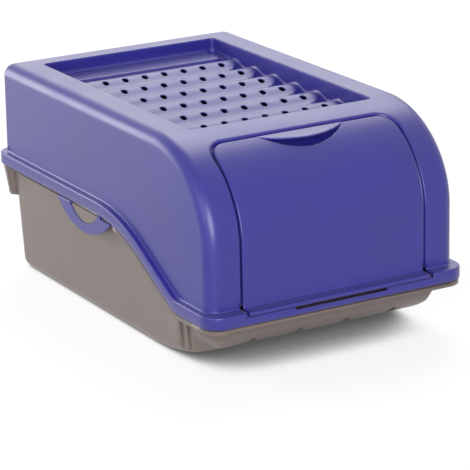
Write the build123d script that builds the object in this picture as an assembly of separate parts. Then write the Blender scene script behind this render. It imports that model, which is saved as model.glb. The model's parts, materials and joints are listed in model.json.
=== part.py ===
# Potato storage bin: a deep tub with a drafted wall and a bowled front, a tall hood with a vented
# roof tray that sits on the tub's rim, a drop-down flap in the hood's nose, and a hinged half-moon
# clip on each side. X is the width, Y the depth with the flap at -Y, Z up. The origin is on the
# ground under the middle of the bin. All sizes are in millimetres.
from build123d import *
import os
from math import cos, radians, sin, tan

# ---------------------------------------------------------------- overall sizes
LENGTH = 476.0            # over the hood's band, front to back
WIDTH = 300.0             # over the hood's band
HEIGHT = 229.0            # ground to the roof
WALL = 2.2                # wall of every moulding
SEAT_GAP = 0.3            # hood's band above the tub's rim

# ---------------------------------------------------------------- parting line, seen from the side
PARTING_REAR_Z = 116.5    # height of the level rear stretch
PARTING_FRONT_Z = 56.5    # height of the level front stretch
SLOPE_START_Y = 0.0       # where the line starts to fall towards the front
SLOPE_ANGLE = 28.0        # steepest fall, in degrees
CREST_RADIUS = 205.0      # round over the top of the fall
HOLLOW_RADIUS = 25.0      # round into the level front stretch

# ---------------------------------------------------------------- hood
BAND_HEIGHT = 14.0        # upright band round the hood's foot
BAND_CORNER = 20.0        # band corner radius in plan
BAND_EDGE_ROUND = 1.6     # round on the band's upper edge
SIDE_STEP = 6.5           # shoulder from band to hood wall, at the sides and rear
FRONT_STEP = 13.4         # shoulder at the front
REAR_LEAN = 3.5           # how far the rear wall leans in at roof height
ROOF_REAR_ROUND = 13.0    # round between rear wall and roof
EDGE_ROUND = 13.5         # round along the side edges of rear wall, roof and nose
NOSE_DEPTH = 109.6        # half axis of the nose curve along Y
NOSE_DROP = 96.0          # half axis of the nose curve along Z

# ---------------------------------------------------------------- roof tray
TRAY_WIDTH = 213.4        # inside width of the sunk tray
TRAY_FRONT_SET_BACK = 96.6  # inside face of the tray's front wall, behind the nose's front
TRAY_REAR_SET_IN = 42.0   # inside face of the tray's rear wall, in from the band's rear
TRAY_CORNER = 5.0         # inside corner radius
TRAY_DEPTH = 15.2         # roof down to the crests
RIPPLE_HEIGHT = 6.2       # trough to crest
RIPPLE_COUNT = 6          # crests across the tray
REAR_CREST_SET_IN = 48.8  # the rearmost crest, in from the tray's rear wall
FRONT_CREST_SET_IN = 60.2  # the foremost crest, in from the tray's front wall
LEDGE_DROP = 0.4          # level ledges before and behind the ripples, below the crests
LEDGE_DEPTH = 33.0        # the rear ledge, from the tray's rear wall
SLOT_WIDTH = 6.4          # vent slots, on the front slope of every ripple
SLOT_LENGTH = 7.6
SLOT_SET_OUT = 7.5        # their middle, in front of the crest
SLOT_PITCH = 24.0
SLOT_COUNT = 8

# ---------------------------------------------------------------- flap and its opening
FLAP_GAP = 2.6            # running gap round the flap
FLAP_WIDTH = 210.0
FLAP_REACH = 63.6         # upper edge of the flap, in plan, behind the nose's front
FLAP_CORNER = 18.0        # upper corner radius, in plan
FRAME_WIDTH = 6.0         # frame behind the flap's edge
FRAME_GAP = 0.5           # flap's inside face to the frame
BARREL_RADIUS = 2.5       # hinge barrel along the flap's foot
BARREL_GAP = 0.5
FOOT_THICKNESS = 2.4      # flap's foot plate, behind the barrel
PIN_RADIUS = 1.5
PIN_LENGTH = 4.0
PIN_CLEARANCE = 0.08
CHEEK_WIDTH = 6.0         # block that holds each pin
FINGER_SLOT_WIDTH = 106.6 # slot under the middle of the barrel
FINGER_SLOT_HEIGHT = 2.8
GRIP_WIDTH = 100.0        # crescent grip on the flap
GRIP_REACH = 18.0         # how far it stands out in front
GRIP_SLOPE = 7.0          # fall of its upper face towards the front, in degrees
GRIP_THICKNESS = 2.6
GRIP_DROP = 9.0           # its back edge below the roof
POCKET_WIDTH = 100.0      # scooped finger pocket under the grip
POCKET_DEPTH = 20.0       # front to back
POCKET_HEIGHT = 16.0
POCKET_SET_OUT = 14.0     # its middle, in front of the flap's upper edge
POCKET_SINK = 17.5        # its middle, below the roof

# ---------------------------------------------------------------- tub
TUB_HALF_WIDTH = 134.5    # half width on the ground
TUB_REAR_INSET = 16.0     # rear wall on the ground, in from the band
TUB_FRONT_INSET = 26.5    # front wall, carried down to the ground, in from the band
TUB_CORNER = 22.0         # corner radius on the ground
TUB_DRAFT = 3.0           # wall lean, in degrees
KEEL_RADIUS = 280.0        # shallow rise of the floor towards the front
KEEL_TURN = 23.0           # how far it turns up, in degrees
BOW_RADIUS = 32.0          # tighter round from the rise into the front wall
BOW_OUT = 2.5              # furthest point of that round, in front of the front wall's foot
FLOOR_ROUND = 11.0        # round between floor and walls
UPSTAND = 8.0             # tub wall above the parting line, inside the hood
RIM_INSET = 1.2           # rim's edge inside the band's face
RIM_THICKNESS = 2.2
CHANNEL_COUNT = 4         # raised channels along the underside
CHANNEL_PITCH = 55.0
CHANNEL_WIDTH = 24.0
CHANNEL_HEIGHT = 5.0       # depth into the floor
CHANNEL_ARCH = 30.0        # height of their arched front ends
LUG_LENGTH = 28.0         # rear corner lugs, under the rim, in from the band's rear
LUG_HEIGHT = 32.0
LUG_REACH_X = 24.0        # how far they wrap round the rear corner
STEP_COUNT = 2            # upright steps where the side walls narrow near the front corners
STEP_SET_BACK = 59.5      # the rearmost step, behind the front wall's foot
STEP_LENGTH = 10.5
STEP_DEPTH = 2.2

# ---------------------------------------------------------------- side clips
CLIP_Y = 24.0             # middle of the clip
CLIP_LENGTH = 123.0       # along its upper edge
CLIP_DROP = 26.0          # parting line down to its lowest point
CLIP_THICKNESS = 2.6
WINDOW_LENGTH = 63.0
WINDOW_DROP = 15.5        # parting line down to the window's lowest point
KNUCKLE_RADIUS = 1.2      # rounded upper edge of the clip, on the hinge axis
KNUCKLE_FRONT_LENGTH = 5.0
CLIP_TOP_DROP = 1.35      # flat upper edge beside the knuckles, below the hinge axis
CLIP_PIN_RADIUS = 0.6
CLIP_PIN_LENGTH = 3.6
CLIP_PIN_CLEARANCE = 0.05
EAR_LENGTH = 3.2          # ears on the band, in the window's upper corners
CLIP_GAP = 0.6            # between clip, ears and band
BOSS_GAP = 1.5            # round the tub's half-moon boss in the window
BOSS_CLEARANCE = 0.4      # boss face behind the clip

BIG = 1000.0
PROBE = 0.4               # step used to tell which side of an edge is solid

# ---------------------------------------------------------------- worked-out places
half_width = WIDTH / 2
front_y = -LENGTH / 2
rear_y = LENGTH / 2
hood_half_width = half_width - SIDE_STEP
nose_y = front_y + FRONT_STEP
nose_centre_y = nose_y + NOSE_DEPTH
nose_centre_z = HEIGHT - NOSE_DROP
hood_rear_y = rear_y - SIDE_STEP
tray_front_y = nose_y + TRAY_FRONT_SET_BACK
tray_rear_y = rear_y - TRAY_REAR_SET_IN
rear_crest_y = tray_rear_y - REAR_CREST_SET_IN
crest_span = rear_crest_y - tray_front_y - FRONT_CREST_SET_IN
ripple_pitch = crest_span / (RIPPLE_COUNT - 1)
flap_rear_y = nose_y + FLAP_REACH
pocket_y = flap_rear_y - POCKET_SET_OUT
pocket_z = HEIGHT - POCKET_SINK
crest_z = HEIGHT - TRAY_DEPTH
opening_half_width = FLAP_WIDTH / 2 + FLAP_GAP
shelf_z = PARTING_FRONT_Z + BAND_HEIGHT
barrel_y = front_y + BARREL_RADIUS
barrel_z = shelf_z - BARREL_RADIUS
clip_axis_x = half_width - KNUCKLE_RADIUS
clip_axis_z = PARTING_REAR_Z - CLIP_GAP - KNUCKLE_RADIUS
clip_inner_x = half_width - CLIP_THICKNESS
ear_sweep = 2 ** 0.5 * KNUCKLE_RADIUS + CLIP_GAP
boss_x = clip_inner_x - BOSS_CLEARANCE
window_front_y = CLIP_Y - WINDOW_LENGTH / 2
window_rear_y = CLIP_Y + WINDOW_LENGTH / 2
wall_lean = tan(radians(TUB_DRAFT))
tub_rear_y = rear_y - TUB_REAR_INSET
tub_front_y = front_y + TUB_FRONT_INSET
step_rear_y = tub_front_y + STEP_SET_BACK
lug_front_y = rear_y - LUG_LENGTH


def side_solid(curves, reach=BIG):
    """A closed outline of (y, z) curves, carried along X both ways."""
    return extrude(Plane.YZ * make_face(curves), reach, both=True)


def slab(x0, x1, y0, y1, z0, z1):
    """A box between two corners."""
    middle = ((x0 + x1) / 2, (y0 + y1) / 2, (z0 + z1) / 2)
    return Pos(*middle) * Box(x1 - x0, y1 - y0, z1 - z0)


def above_parting(rise=0.0):
    """Everything above the parting line, with the line raised by rise."""
    turn = radians(SLOPE_ANGLE)
    fall = PARTING_REAR_Z - PARTING_FRONT_Z
    straight = (fall - (CREST_RADIUS + HOLLOW_RADIUS) * (1 - cos(turn))) / sin(turn)
    z = PARTING_REAR_Z + rise
    crest_end = (SLOPE_START_Y - CREST_RADIUS * sin(turn), z - CREST_RADIUS * (1 - cos(turn)))
    hollow_start = (crest_end[0] - straight * cos(turn), crest_end[1] - straight * sin(turn))
    hollow_y = hollow_start[0] - HOLLOW_RADIUS * sin(turn)
    foot = (hollow_y, PARTING_FRONT_Z + rise)
    crest_middle = (
        SLOPE_START_Y - CREST_RADIUS * sin(turn / 2),
        z - CREST_RADIUS * (1 - cos(turn / 2)),
    )
    hollow_middle = (
        hollow_y + HOLLOW_RADIUS * sin(turn / 2),
        foot[1] + HOLLOW_RADIUS * (1 - cos(turn / 2)),
    )
    outline = [
        Line((BIG, z), (SLOPE_START_Y, z)),
        ThreePointArc((SLOPE_START_Y, z), crest_middle, crest_end),
        Line(crest_end, hollow_start),
        ThreePointArc(hollow_start, hollow_middle, foot),
        Polyline(foot, (-BIG, foot[1]), (-BIG, BIG), (BIG, BIG), (BIG, z)),
    ]
    return side_solid(outline)


def hood_form(inset=0.0):
    """The hood's outer form, or the same form with every face moved in by inset."""
    top = HEIGHT - inset
    nose = nose_y + inset
    back_foot = hood_rear_y - inset
    back_top = back_foot - REAR_LEAN
    depth = nose_centre_y - nose
    drop = top - nose_centre_z
    nose_curve = EllipticalCenterArc(
        (nose_centre_y, nose_centre_z), depth, drop, start_angle=90, arc_size=90
    )
    outline = [
        nose_curve,
        Polyline((nose, nose_centre_z), (nose, 0), (back_foot, 0), (back_top, top), (nose_centre_y, top)),
    ]
    face = make_face(outline)
    roof_corner = face.vertices().sort_by(Axis.Y)[-2:].sort_by(Axis.Z)[-1]
    face = fillet(roof_corner, ROOF_REAR_ROUND - inset)
    form = extrude(Plane.YZ * face, hood_half_width - inset, both=True)
    side_edges = [
        edge
        for side in (form.faces().sort_by(Axis.X)[0], form.faces().sort_by(Axis.X)[-1])
        for edge in side.edges()
        if edge.center().Z > 1
    ]
    return fillet(side_edges, EDGE_ROUND - inset)


def band_prism(inset=0.0):
    """The band's outline in plan, moved in by inset and carried up."""
    plan = RectangleRounded(WIDTH - 2 * inset, LENGTH - 2 * inset, BAND_CORNER - inset)
    return extrude(plan, HEIGHT)


def outer_band():
    """The band as a solid block, with its upper outer edge rounded."""
    band = (band_prism() & above_parting()) - above_parting(BAND_HEIGHT)
    upper_edges = []
    for edge in band.edges():
        middle = edge.position_at(0.5)
        upright = abs(edge.tangent_at(0.5).Z) > cos(radians(SLOPE_ANGLE))
        near_side = abs(middle.X) > half_width - BAND_CORNER / 2
        near_end = abs(middle.Y) > rear_y - BAND_CORNER / 2
        if upright or not (near_side or near_end):
            continue
        inward = Vector(-middle.X, -middle.Y, 0).normalized()
        if band.is_inside(middle + inward * PROBE - Vector(0, 0, PROBE)):
            upper_edges.append(edge)
    return fillet(upper_edges, BAND_EDGE_ROUND)


def opening_prism(grow, floor_z):
    """The flap's outline in plan, grown by grow, carried up from floor_z."""
    half = FLAP_WIDTH / 2 + grow
    back = flap_rear_y + grow
    plan = Pos(0, (back - BIG) / 2) * Rectangle(2 * half, back + BIG)
    plan = fillet(plan.vertices().sort_by(Axis.Y)[-2:], FLAP_CORNER + grow)
    return Pos(0, 0, floor_z) * extrude(plan, BIG)


def x_rod(radius, length, y, z):
    """A rod along X, centred on the bin's middle plane."""
    return Pos(0, y, z) * Rot(0, 90, 0) * Cylinder(radius, length)


def y_rod(radius, y0, y1, side):
    """A rod along Y on one clip's hinge axis."""
    place = Pos(side * clip_axis_x, (y0 + y1) / 2, clip_axis_z)
    return place * Rot(90, 0, 0) * Cylinder(radius, y1 - y0)


def half_moon(length, drop, x0, x1):
    """A flat segment hanging from the parting line, between two values of x."""
    z = PARTING_REAR_Z
    y0, y1 = CLIP_Y - length / 2, CLIP_Y + length / 2
    face = make_face([
        Line((y0, z), (y1, z)),
        ThreePointArc((y1, z), (CLIP_Y, z - drop), (y0, z)),
    ])
    return Pos(min(x0, x1), 0, 0) * extrude(Plane.YZ * face, abs(x1 - x0))


def above_ripples(sink=0.0):
    """Everything above the tray's floor, with the floor lowered by sink."""
    ledge_z = crest_z - LEDGE_DROP - sink
    middle_z = crest_z - RIPPLE_HEIGHT / 2 - sink
    half_pitch = ripple_pitch / 2
    step_y = tray_rear_y - LEDGE_DEPTH
    start_y = rear_crest_y + half_pitch / 2
    curves = [Polyline(
        (BIG, BIG), (BIG, ledge_z), (step_y, ledge_z), (step_y, middle_z), (start_y, middle_z)
    )]
    arcs = 2 * RIPPLE_COUNT
    for index in range(arcs):
        y = start_y - index * half_pitch
        bulge = -RIPPLE_HEIGHT / 2 if index % 2 else RIPPLE_HEIGHT / 2
        curves.append(ThreePointArc(
            (y, middle_z), (y - half_pitch / 2, middle_z + bulge), (y - half_pitch, middle_z)
        ))
    end_y = start_y - arcs * half_pitch
    curves.append(Polyline((end_y, middle_z), (end_y, ledge_z), (-BIG, ledge_z), (-BIG, BIG), (BIG, BIG)))
    return side_solid(curves)


def tray_prism(grow=0.0):
    """The tray's outline in plan, grown by grow."""
    depth = tray_rear_y - tray_front_y
    plan = RectangleRounded(TRAY_WIDTH + 2 * grow, depth + 2 * grow, TRAY_CORNER + grow)
    return Pos(0, (tray_rear_y + tray_front_y) / 2, 0) * extrude(plan, BIG)


def vent_slots():
    """Round-ended slots, cut straight down through the front slope of every ripple."""
    slot = Rot(0, 0, 90) * SlotOverall(SLOT_LENGTH, SLOT_WIDTH)
    middle_y = rear_crest_y - SLOT_SET_OUT - (RIPPLE_COUNT - 1) * ripple_pitch / 2
    grid = Pos(0, middle_y) * GridLocations(SLOT_PITCH, ripple_pitch, SLOT_COUNT, RIPPLE_COUNT)
    pattern = Sketch() + [place * slot for place in grid]
    return Pos(0, 0, crest_z - RIPPLE_HEIGHT - WALL) * extrude(pattern, HEIGHT)


def hinge_bed():
    """The shelf and trough in the hood's front band that carry the flap's barrel and pins."""
    half = opening_half_width + CHEEK_WIDTH
    bed_z = barrel_z - BARREL_RADIUS - FINGER_SLOT_HEIGHT - WALL
    bed = slab(-half, half, front_y, nose_y + WALL, bed_z, shelf_z)
    bed -= slab(
        -opening_half_width, opening_half_width, front_y - WALL, nose_y + 2 * WALL,
        shelf_z - FOOT_THICKNESS - BARREL_GAP, shelf_z + WALL,
    )
    return bed


def hinge_cuts():
    """What the flap's barrel, pins and the finger slot take out of the bed and the band."""
    cuts = x_rod(BARREL_RADIUS + BARREL_GAP, 2 * opening_half_width, barrel_y, barrel_z)
    bore_reach = opening_half_width + CHEEK_WIDTH - WALL / 2
    cuts += x_rod(PIN_RADIUS + PIN_CLEARANCE, 2 * bore_reach, barrel_y, barrel_z)
    slot_z = barrel_z - BARREL_RADIUS
    cuts += slab(
        -FINGER_SLOT_WIDTH / 2, FINGER_SLOT_WIDTH / 2, front_y - WALL, barrel_y,
        slot_z - FINGER_SLOT_HEIGHT, slot_z,
    )
    return cuts


def clip_ears(side):
    """The two small ears in the window's upper corners that hold one clip's pins."""
    x0, x1 = sorted((side * clip_inner_x, side * half_width))
    z0 = clip_axis_z - KNUCKLE_RADIUS
    z1 = PARTING_REAR_Z + WALL
    front = window_front_y + CLIP_GAP
    rear = window_rear_y - CLIP_GAP
    ears = slab(x0, x1, front, front + EAR_LENGTH, z0, z1)
    ears += slab(x0, x1, rear - EAR_LENGTH, rear, z0, z1)
    bore = CLIP_PIN_RADIUS + CLIP_PIN_CLEARANCE
    ears -= y_rod(bore, front - CLIP_GAP, front + EAR_LENGTH + CLIP_GAP, side)
    ears -= y_rod(bore, rear - EAR_LENGTH - CLIP_GAP, rear + CLIP_GAP, side)
    return ears


def make_hood():
    outer = hood_form()
    inner = hood_form(WALL)
    above = above_parting()
    hood = (outer & above) + outer_band()
    hollow = inner + (band_prism(WALL) - above_parting(BAND_HEIGHT - WALL))
    hood -= hollow
    # sunk roof tray
    hood += tray_prism(WALL) & above_ripples(WALL) & outer
    hood -= tray_prism() & above_ripples()
    hood -= vent_slots()
    # opening for the flap, with a frame set in behind its edge
    edge_floor = shelf_z - FOOT_THICKNESS - BARREL_GAP
    hood -= opening_prism(FLAP_GAP, edge_floor)
    frame = (inner - hood_form(2 * WALL + FRAME_GAP)) & (
        opening_prism(FLAP_GAP + WALL, edge_floor) - opening_prism(-FRAME_WIDTH, edge_floor)
    )
    frame -= (inner - hood_form(WALL + FRAME_GAP)) & opening_prism(FLAP_GAP, edge_floor)
    pocket_half = POCKET_WIDTH / 2 + 2 * WALL
    frame -= slab(-pocket_half, pocket_half, -BIG, flap_rear_y + FLAP_GAP, crest_z - POCKET_HEIGHT, HEIGHT)
    hood += frame
    hood += hinge_bed()
    hood -= hinge_cuts()
    for side in (-1, 1):
        hood += clip_ears(side)
    return hood


def finger_pocket(grow=0.0):
    """The scooped space under the grip, grown by grow."""
    size = (POCKET_WIDTH / 2 + grow, POCKET_DEPTH / 2 + grow, POCKET_HEIGHT / 2 + grow)
    return Pos(0, pocket_y, pocket_z) * scale(Sphere(1), by=size)


def make_flap():
    outer = hood_form()
    foot_z = shelf_z - FOOT_THICKNESS
    inner = hood_form(WALL)
    flap = (outer - inner) & opening_prism(0, foot_z)
    flap += finger_pocket(WALL) & outer & opening_prism(0, foot_z)
    flap -= finger_pocket()
    half = FLAP_WIDTH / 2
    flap += slab(-half, half, barrel_y, nose_y + WALL, foot_z, shelf_z)
    barrel_half = opening_half_width - CLIP_GAP
    flap += x_rod(BARREL_RADIUS, 2 * barrel_half, barrel_y, barrel_z)
    flap += x_rod(PIN_RADIUS, 2 * (barrel_half + PIN_LENGTH), barrel_y, barrel_z)
    # crescent grip: a flat lip in front of the upper edge, with finger room under it
    back = flap_rear_y
    tip = GRIP_WIDTH / 2
    crescent = make_face([
        Line((-tip, back), (tip, back)),
        ThreePointArc((tip, back), (0, back - GRIP_REACH), (-tip, back)),
    ])
    back_z = HEIGHT - GRIP_DROP
    front_z = back_z - GRIP_REACH * tan(radians(GRIP_SLOPE))
    reach_y = back - GRIP_REACH
    lip = side_solid([Polyline(
        (back, back_z), (reach_y, front_z), (reach_y, front_z - GRIP_THICKNESS),
        (back, back_z - GRIP_THICKNESS), (back, back_z),
    )])
    lip = lip & extrude(crescent, BIG)
    flap += lip
    return flap


def above_bowl(inset=0.0):
    """Everything above the floor and the bowled front, with both moved up and in by inset."""
    turn = radians(KEEL_TURN)
    bow_y = tub_front_y - BOW_OUT + BOW_RADIUS
    bow_z = KEEL_RADIUS - (KEEL_RADIUS - BOW_RADIUS) * cos(turn)
    keel_y = bow_y + (KEEL_RADIUS - BOW_RADIUS) * sin(turn)
    keel = KEEL_RADIUS - inset
    bow = BOW_RADIUS - inset
    half_turn = turn / 2
    mid_turn = (turn + radians(90)) / 2
    joint = (bow_y - bow * sin(turn), bow_z - bow * cos(turn))
    return side_solid([
        Line((BIG, inset), (keel_y, inset)),
        ThreePointArc(
            (keel_y, inset),
            (keel_y - keel * sin(half_turn), KEEL_RADIUS - keel * cos(half_turn)),
            joint,
        ),
        ThreePointArc(
            joint,
            (bow_y - bow * sin(mid_turn), bow_z - bow * cos(mid_turn)),
            (bow_y - bow, bow_z),
        ),
        Polyline((bow_y - bow, bow_z), (bow_y - bow, BIG), (BIG, BIG), (BIG, inset)),
    ])


def tub_walls(inset=0.0, narrowing=0.0):
    """The drafted walls as a solid block, moved in by inset and narrowed further at the sides."""
    depth = tub_rear_y - tub_front_y - 2 * inset
    half = TUB_HALF_WIDTH - inset - narrowing
    plan = RectangleRounded(2 * half, depth, TUB_CORNER - inset)
    block = extrude(plan, PARTING_REAR_Z + 2 * UPSTAND, taper=-TUB_DRAFT)
    return Pos(0, (tub_rear_y + tub_front_y) / 2, 0) * block


def tub_form(inset=0.0):
    """The tub's outer form, or the same form with every face moved in by inset."""
    form = tub_walls(inset) & above_bowl(inset)
    foot_edges = []
    for edge in form.edges():
        box = edge.bounding_box()
        across = box.size.X > TUB_HALF_WIDTH
        low = box.min.Z < PARTING_FRONT_Z / 2 and box.max.Z < PARTING_FRONT_Z + WALL
        if low and (not across or edge.center().Y > tub_rear_y / 2):
            foot_edges.append(edge)
    form = fillet(foot_edges, FLOOR_ROUND - inset)
    # the side walls step in near the front corners
    for step in range(STEP_COUNT):
        front_of = step_rear_y - step * STEP_LENGTH + inset
        zone = slab(-BIG, BIG, -BIG, front_of, -BIG, BIG)
        form -= zone - tub_walls(inset, (step + 1) * STEP_DEPTH)
    # raised channels along the underside
    for index in range(CHANNEL_COUNT):
        x = (index - (CHANNEL_COUNT - 1) / 2) * CHANNEL_PITCH
        half = CHANNEL_WIDTH / 2 + inset
        arch = Plane.XZ * Pos(x, 0) * Ellipse(half, CHANNEL_ARCH + inset)
        form -= extrude(arch, BIG, both=True) - above_bowl(CHANNEL_HEIGHT + inset)
    return form


def corner_lugs(inset=0.0):
    """Stepped-out rear corners under the rim, or the same moved in by inset."""
    top = PARTING_REAR_Z - SEAT_GAP - RIM_THICKNESS
    outline = band_prism(RIM_INSET + inset)
    lugs = []
    for side in (-1, 1):
        x0, x1 = sorted((side * (half_width - LUG_REACH_X + inset), side * half_width))
        zone = slab(x0, x1, lug_front_y + inset, rear_y, top - LUG_HEIGHT + inset, top - inset)
        lugs.append(zone & outline)
    return lugs


def make_tub():
    tub = tub_form()
    tub -= above_parting(UPSTAND)
    rim = band_prism(RIM_INSET) & above_parting(-SEAT_GAP - RIM_THICKNESS)
    rim -= above_parting(-SEAT_GAP)
    for side in (-1, 1):
        x0, x1 = sorted((side * boss_x, side * BIG))
        reach = CLIP_LENGTH / 2 + CLIP_GAP
        rim -= slab(x0, x1, CLIP_Y - reach, CLIP_Y + reach, 0, HEIGHT)
    tub += rim
    tub += corner_lugs()
    for side in (-1, 1):
        tub += half_moon(
            WINDOW_LENGTH - 2 * BOSS_GAP, WINDOW_DROP - BOSS_GAP,
            side * (TUB_HALF_WIDTH - WALL), side * boss_x,
        ) - above_parting(-SEAT_GAP)
    tub -= tub_form(WALL)
    tub -= corner_lugs(WALL)
    return tub


def make_clip(side):
    x0, x1 = side * clip_inner_x, side * half_width
    plate = half_moon(CLIP_LENGTH, CLIP_DROP, x0, x1)
    plate -= half_moon(WINDOW_LENGTH, WINDOW_DROP, side * (half_width - BIG), side * BIG)
    plate -= above_parting(-CLIP_GAP)
    top_z = clip_axis_z - CLIP_TOP_DROP
    plate -= slab(-BIG, BIG, -BIG, BIG, top_z, HEIGHT)
    # rounded upper edge and pins, on the hinge axis
    rear_end = CLIP_Y + CLIP_LENGTH / 2 - KNUCKLE_RADIUS - CLIP_GAP
    spans = (
        (window_front_y - KNUCKLE_FRONT_LENGTH, window_front_y, 1),
        (window_rear_y, rear_end, -1),
    )
    for y0, y1, towards in spans:
        ear_y = window_front_y if towards > 0 else window_rear_y
        reach = towards * (EAR_LENGTH + 2 * CLIP_GAP)
        plate -= y_rod(ear_sweep, *sorted((ear_y, ear_y + reach)), side)
        plate += y_rod(KNUCKLE_RADIUS, y0, y1, side)
        web_x0, web_x1 = sorted((side * (clip_axis_x - KNUCKLE_RADIUS), side * half_width))
        plate += slab(web_x0, web_x1, y0, y1, top_z - CLIP_GAP, clip_axis_z)
        pin_y = (ear_y - towards * KNUCKLE_RADIUS, ear_y + towards * CLIP_PIN_LENGTH)
        plate += y_rod(CLIP_PIN_RADIUS, *sorted(pin_y), side)
    return plate


os.makedirs("parts", exist_ok=True)
export_step(make_tub(), "parts/tub.step")
export_step(make_hood(), "parts/hood.step")
export_step(make_flap(), "parts/front_flap.step")
export_step(make_clip(-1), "parts/left_clip.step")
export_step(make_clip(1), "parts/right_clip.step")
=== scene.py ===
import json
import math
import bpy
import bmesh
import numpy as np
from mathutils import Matrix

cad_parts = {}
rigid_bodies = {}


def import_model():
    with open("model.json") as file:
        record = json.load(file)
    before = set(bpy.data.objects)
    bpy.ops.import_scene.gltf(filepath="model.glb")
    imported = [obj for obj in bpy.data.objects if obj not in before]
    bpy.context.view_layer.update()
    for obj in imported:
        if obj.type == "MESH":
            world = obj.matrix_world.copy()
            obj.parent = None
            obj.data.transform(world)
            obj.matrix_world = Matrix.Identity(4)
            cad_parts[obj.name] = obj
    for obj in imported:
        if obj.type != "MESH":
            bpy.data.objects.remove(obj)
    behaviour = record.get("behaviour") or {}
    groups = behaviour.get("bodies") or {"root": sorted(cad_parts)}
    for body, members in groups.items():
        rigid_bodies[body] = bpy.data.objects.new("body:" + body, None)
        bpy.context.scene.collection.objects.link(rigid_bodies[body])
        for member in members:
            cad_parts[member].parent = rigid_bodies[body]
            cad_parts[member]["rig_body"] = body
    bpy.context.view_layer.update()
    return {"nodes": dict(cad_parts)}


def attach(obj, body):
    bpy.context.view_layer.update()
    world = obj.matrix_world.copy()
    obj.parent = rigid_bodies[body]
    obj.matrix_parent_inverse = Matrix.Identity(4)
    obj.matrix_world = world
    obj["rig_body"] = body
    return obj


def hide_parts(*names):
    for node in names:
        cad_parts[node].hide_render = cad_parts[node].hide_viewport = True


bl_info = {
    "name": "Potato bin",
    "version": (1, 0, 0),
    "blender": (4, 5, 0),
    "location": "View3D > Sidebar > Potato bin",
    "description": "Moulded potato bin with a vented hood, drop-down flap and side clips",
    "category": "Add Mesh",
}

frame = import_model()

# ---------------- sizes (millimetres)
MM = 0.001
BAND_HALF_X, BAND_HALF_Y = 150.0, 238.0
BAND_CORNER, BAND_HEIGHT = 20.0, 14.0
WALL_HALF_X = 143.5
ROOF_Z = 229.0
NOSE_FRONT_Y, NOSE_CENTRE_Y, NOSE_CENTRE_Z = -224.6, -115.0, 133.0
NOSE_DEPTH, NOSE_DROP = 109.6, 96.0
REAR_Y, REAR_LEAN, REAR_ROUND = 231.5, 3.5, 13.0
PARTING_REAR_Z, PARTING_FRONT_Z = 116.5, 56.5
SHELF_Z = PARTING_FRONT_Z + BAND_HEIGHT
TRAY_HALF_X, TRAY_FRONT_Y, TRAY_REAR_Y = 106.7, -128.0, 196.0
CREST_Z, RIPPLE_HEIGHT, RIPPLE_PITCH, REAR_CREST_Y = 213.8, 6.2, 43.0, 147.2
LEDGE_Z, LEDGE_FRONT_Y = 213.4, 163.0
RIPPLES, SLOTS, SLOT_PITCH = 6, 8, 24.0
SLOT_WIDTH, SLOT_LENGTH, SLOT_SET_OUT = 6.4, 7.6, 7.5
# gap under the band, and how far behind the band's face its seat closes it
BAND_GAP, SEAT_IN = 1.2, 5.0
FINGER_HALF, FINGER_DEEP = 53.3, 2.4
BOSS_INNER_X, BOSS_OUTER_X, BOSS_Y = 146.9, 149.2, 24.0
BOSS_HALF, BOSS_DROP, BOSS_TOP_DOWN = 30.0, 14.0, 1.5
PAD_END_X, PAD_ROUND, PAD_DROP = 104.0, 17.0, 1.8
LEDGE_END_X = 98.0
FLAP_HALF_X, FLAP_REAR_Y, FLAP_CORNER = 105.0, -161.0, 18.0
OPEN_HALF_X, OPEN_REAR_Y, OPEN_CORNER = 107.6, -158.4, 20.6
BARREL_Y, BARREL_Z, BARREL_RADIUS = -235.5, 68.0, 2.5
TRAY_CORNER, TRAY_RIM = 5.0, 1.2
# the opening's edge has side_roll in front of this Y and lip_roll this far behind it
ROLL_FRONT_Y, ROLL_RUN = -200.0, 25.0
# the flap's seat inside the opening, which leaves the middle clear behind the grip
SEAT_DEPTH, SEAT_STEP, SEAT_REACH = 3.4, 0.4, 8.0
SEAT_CLEAR_X, SEAT_CLEAR_RUN, SEAT_CLEAR_Y = 52.0, 8.0, -185.0
HINGE_RISE, HINGE_REAR_Y = 2.0, -222.6

# the tub's front corners: where they grow fuller, by how much, and the sweep to the foot
CORNER_REAR_Y, CORNER_RUN_Y, CORNER_END_Y = -168.0, 24.0, -218.0
CORNER_INNER_X, CORNER_RUN_X, CORNER_END_X = 85.0, 50.0, 139.5
CORNER_TOP_Z, CORNER_OUT, CORNER_IN = 55.5, 7.0, 19.0
SWEEP_TOP_Z, SWEEP_RUN, SWEEP_MOST, SWEEP_POWER = 46.0, 22.0, 24.0, 1.5
FINE_INNER_X, FINE_REAR_Y, FINE_TOP_Z = 80, -150, 58
# the rim: its underside drops in front of RIM_DROP_Y, its edge is lower behind RIM_LOW_Y
RIM_INNER_X, RIM_FRONT_Y, RIM_DROP, RIM_DROP_Y = 130.0, -210.0, 2.0, -36.0
RIM_EDGE_X, RIM_EDGE_Y, RIM_LOW, RIM_LOW_Y = 146.0, 232.0, 1.0, 86.0
# the lugs under the rim at the rear corners
LUG_TAPER, LUG_RUN, LUG_TOP_Z, LUG_FOOT_Z = 7.0, 26.0, 120.0, 80.0
LUG_INNER_X, LUG_INNER_Y, LUG_REAR_OF_Y = 141.6, 227.5, 205.0
LUG_FACE_X, LUG_FACE_Y, LUG_FACE_TOP_Z = 139.0, 210.0, 123.5

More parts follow.
